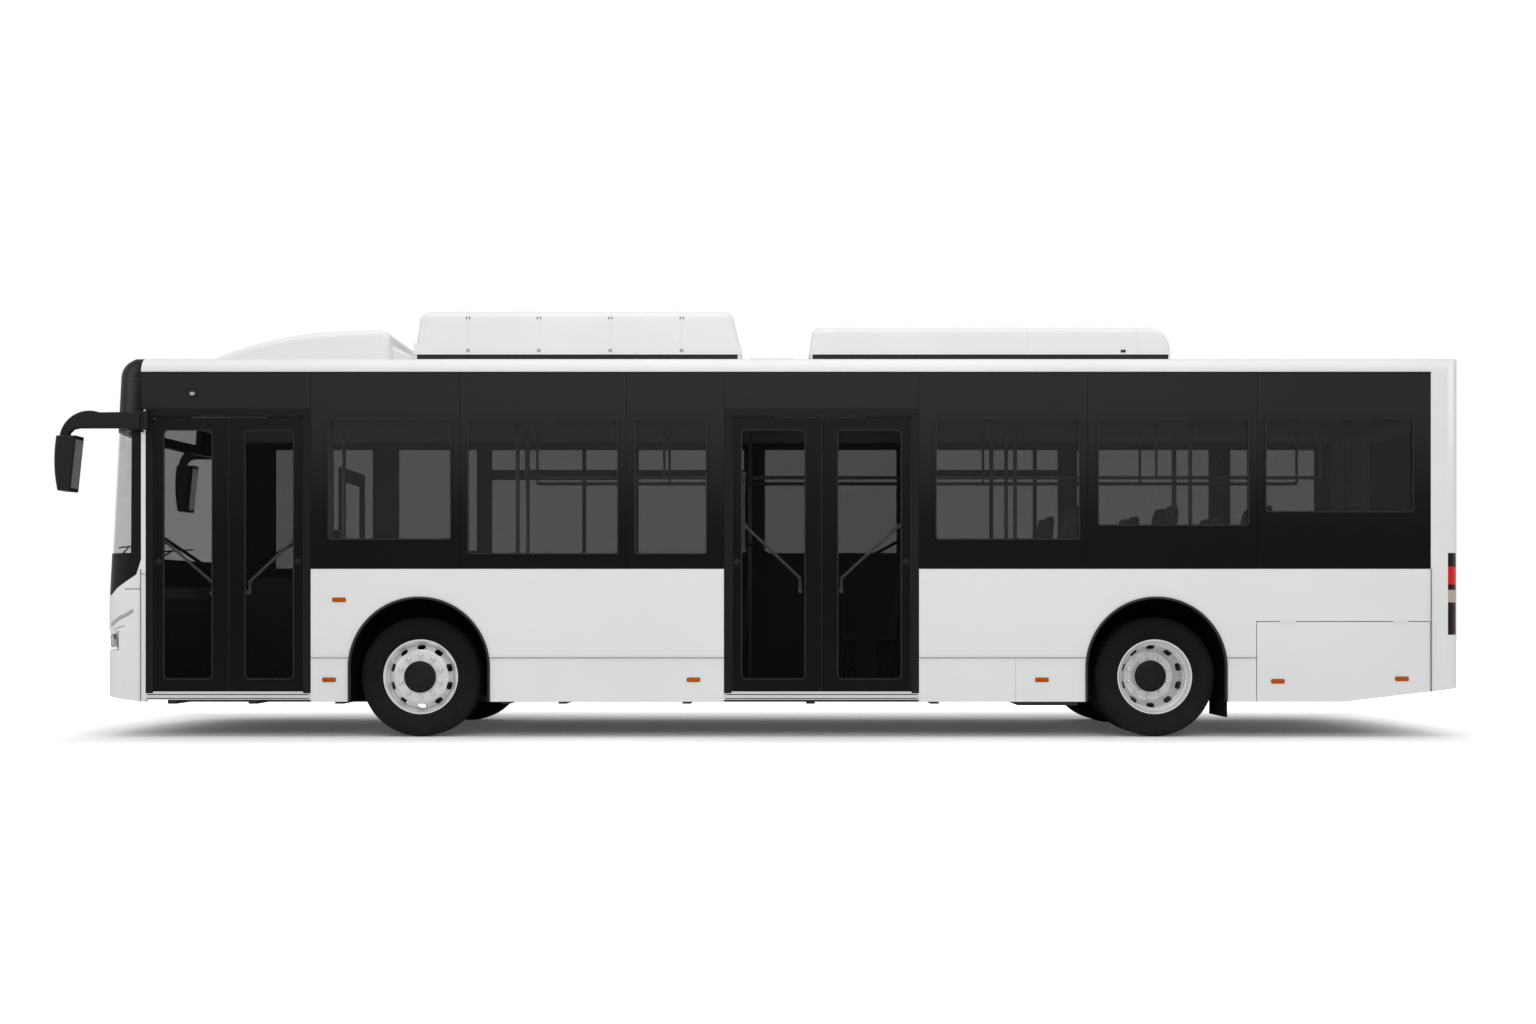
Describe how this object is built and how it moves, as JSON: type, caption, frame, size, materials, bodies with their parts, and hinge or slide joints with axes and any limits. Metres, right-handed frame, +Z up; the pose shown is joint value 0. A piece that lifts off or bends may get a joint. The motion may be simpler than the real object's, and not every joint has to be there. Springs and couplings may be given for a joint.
{
  "type": "low-entry city bus",
  "caption": "Low-entry city bus with inward-gliding passenger doors, steered front wheels, twin rear wheels, roof units and a top-hinged engine hatch.",
  "frame": {"origin": "on the road under the middle of the bounding box", "axes": "+X towards the rear, +Y towards the driver side (the doors are on -Y), +Z up"},
  "size_m": [11.2146, 2.88, 3.4839],
  "materials": {
    "white_paint": "gloss white bodywork",
    "black_trim": "gloss black window band, portals and door leaves",
    "tinted_glass": "dark tinted glass",
    "lamp_lens": "clear lamp lens",
    "red_lens": "red lamp lens",
    "amber_lens": "amber lamp lens",
    "floor_covering": "grey non-slip covering",
    "black_plastic": "matte black plastic",
    "chassis_paint": "matte black chassis paint",
    "aluminium": "plain aluminium",
    "light_plastic": "light grey lining",
    "seat_shell": "dark grey moulded seat",
    "seat_fabric": "dark woven cloth",
    "dark_panel": "dark grey panel",
    "pole_steel": "grey powder coat",
    "cast_metal": "cast and painted metal",
    "black_steel": "black powder coat",
    "tyre_rubber": "black tyre rubber",
    "wheel_paint": "silver wheel paint"
  },
  "bodies": {
    "body": {"front_mask": "white_paint", "front_surround": "black_trim", "windscreen": "tinted_glass", "headlamps": "lamp_lens", "rear_cap": "white_paint", "tail_lamps": "red_lens", "roof_skin": "white_paint", "roof_fairing": "white_paint", "roof_pack_cover": "white_paint", "roof_air_conditioner": "white_paint", "lower_wall_left": "white_paint", "lower_wall_right": "white_paint", "upper_wall_left": "black_trim", "upper_wall_right": "black_trim", "body_windows": "tinted_glass", "low_floor": "floor_covering", "raised_floor": "floor_covering", "wheelhouses": "black_plastic", "underframe": "chassis_paint", "door_portals": "black_trim", "door_sills": "aluminium", "front_axle": "chassis_paint", "rear_axle": "chassis_paint", "ceiling": "light_plastic", "passenger_seats": "seat_shell", "grab_poles": "pole_steel", "dashboard": "black_plastic", "steering_wheel": "black_plastic", "driver_seat": "dark_panel", "driver_seat_pads": "seat_fabric", "driver_cab": "dark_panel", "side_marker_lamps": "amber_lens", "mirrors": "black_plastic", "drive_unit": "cast_metal"},
    "knuckle_left": {"knuckle_left": "chassis_paint"},
    "knuckle_right": {"knuckle_right": "chassis_paint"},
    "front_wheel_left": {"front_tyre_left": "tyre_rubber", "front_wheel_left": "wheel_paint"},
    "front_wheel_right": {"front_tyre_right": "tyre_rubber", "front_wheel_right": "wheel_paint"},
    "rear_wheels_left": {"rear_tyres_left": "tyre_rubber", "rear_wheels_left": "wheel_paint"},
    "rear_wheels_right": {"rear_tyres_right": "tyre_rubber", "rear_wheels_right": "wheel_paint"},
    "front_door_fore_post": {"front_door_fore_post": "black_steel"},
    "front_door_fore_leaf": {"front_door_fore_leaf": "black_trim", "front_door_fore_glass": "tinted_glass"},
    "front_door_aft_post": {"front_door_aft_post": "black_steel"},
    "front_door_aft_leaf": {"front_door_aft_leaf": "black_trim", "front_door_aft_glass": "tinted_glass"},
    "middle_door_fore_post": {"middle_door_fore_post": "black_steel"},
    "middle_door_fore_leaf": {"middle_door_fore_leaf": "black_trim", "middle_door_fore_glass": "tinted_glass"},
    "middle_door_aft_post": {"middle_door_aft_post": "black_steel"},
    "middle_door_aft_leaf": {"middle_door_aft_leaf": "black_trim", "middle_door_aft_glass": "tinted_glass"},
    "engine_hatch": {"engine_hatch": "white_paint"},
    "service_flap": {"service_flap": "white_paint", "flap_marker_lamps": "amber_lens"},
    "roof_hatch": {"roof_hatch": "white_paint"}
  },
  "joints": [
    {"name": "steer_left", "type": "hinge", "parent": "body", "child": "knuckle_left", "pos_m": [-2.76125, -0.93, 0.48], "axis": [0, 0, 1], "range_deg": [-40, 40]},
    {"name": "steer_right", "type": "hinge", "parent": "body", "child": "knuckle_right", "pos_m": [-2.76125, 0.93, 0.48], "axis": [0, 0, 1], "range_deg": [-40, 40]},
    {"name": "front_wheel_left_spin", "type": "hinge", "parent": "knuckle_left", "child": "front_wheel_left", "pos_m": [-2.76125, -1.078, 0.48], "axis": [0, 1, 0], "continuous": true},
    {"name": "front_wheel_right_spin", "type": "hinge", "parent": "knuckle_right", "child": "front_wheel_right", "pos_m": [-2.76125, 1.078, 0.48], "axis": [0, 1, 0], "continuous": true},
    {"name": "rear_wheels_left_spin", "type": "hinge", "parent": "body", "child": "rear_wheels_left", "pos_m": [3.13875, -0.922, 0.48], "axis": [0, 1, 0], "continuous": true},
    {"name": "rear_wheels_right_spin", "type": "hinge", "parent": "body", "child": "rear_wheels_right", "pos_m": [3.13875, 0.922, 0.48], "axis": [0, 1, 0], "continuous": true},
    {"name": "front_door_fore_post_turn", "type": "hinge", "parent": "body", "child": "front_door_fore_post", "pos_m": [-4.90925, -1.22, 0.4], "axis": [0, 0, 1], "range_deg": [0, 85]},
    {"name": "front_door_fore_leaf_pivot", "type": "hinge", "parent": "front_door_fore_post", "child": "front_door_fore_leaf", "pos_m": [-4.61275, -1.22, 0.4], "axis": [0, 0, 1], "range_deg": [-170, 0]},
    {"name": "front_door_aft_post_turn", "type": "hinge", "parent": "body", "child": "front_door_aft_post", "pos_m": [-3.66925, -1.22, 0.4], "axis": [0, 0, -1], "range_deg": [0, 85]},
    {"name": "front_door_aft_leaf_pivot", "type": "hinge", "parent": "front_door_aft_post", "child": "front_door_aft_leaf", "pos_m": [-3.96575, -1.22, 0.4], "axis": [0, 0, -1], "range_deg": [-170, 0]},
    {"name": "middle_door_fore_post_turn", "type": "hinge", "parent": "body", "child": "middle_door_fore_post", "pos_m": [-0.28125, -1.22, 0.4], "axis": [0, 0, 1], "range_deg": [0, 85]},
    {"name": "middle_door_fore_leaf_pivot", "type": "hinge", "parent": "middle_door_fore_post", "child": "middle_door_fore_leaf", "pos_m": [0.07525, -1.22, 0.4], "axis": [0, 0, 1], "range_deg": [-170, 0]},
    {"name": "middle_door_aft_post_turn", "type": "hinge", "parent": "body", "child": "middle_door_aft_post", "pos_m": [1.19875, -1.22, 0.4], "axis": [0, 0, -1], "range_deg": [0, 85]},
    {"name": "middle_door_aft_leaf_pivot", "type": "hinge", "parent": "middle_door_aft_post", "child": "middle_door_aft_leaf", "pos_m": [0.84225, -1.22, 0.4], "axis": [0, 0, -1], "range_deg": [-170, 0]},
    {"name": "engine_hatch_hinge", "type": "hinge", "parent": "body", "child": "engine_hatch", "pos_m": [5.60075, 0, 1.503], "axis": [0, -1, 0], "range_deg": [0, 75]},
    {"name": "service_flap_hinge", "type": "hinge", "parent": "body", "child": "service_flap", "pos_m": [4.63875, -1.257, 0.925], "axis": [-1, 0, 0], "range_deg": [0, 85]},
    {"name": "roof_hatch_tilt", "type": "hinge", "parent": "body", "child": "roof_hatch", "pos_m": [-0.15425, 0, 3.106], "axis": [0, -1, 0], "range_deg": [0, 15]}
  ],
  "couplings": [
    {"joint": "steer_right", "follows": "steer_left", "ratio": 1},
    {"joint": "front_door_fore_leaf_pivot", "follows": "front_door_fore_post_turn", "ratio": -2},
    {"joint": "front_door_aft_leaf_pivot", "follows": "front_door_aft_post_turn", "ratio": -2},
    {"joint": "middle_door_fore_leaf_pivot", "follows": "middle_door_fore_post_turn", "ratio": -2},
    {"joint": "middle_door_aft_leaf_pivot", "follows": "middle_door_aft_post_turn", "ratio": -2}
  ]
}
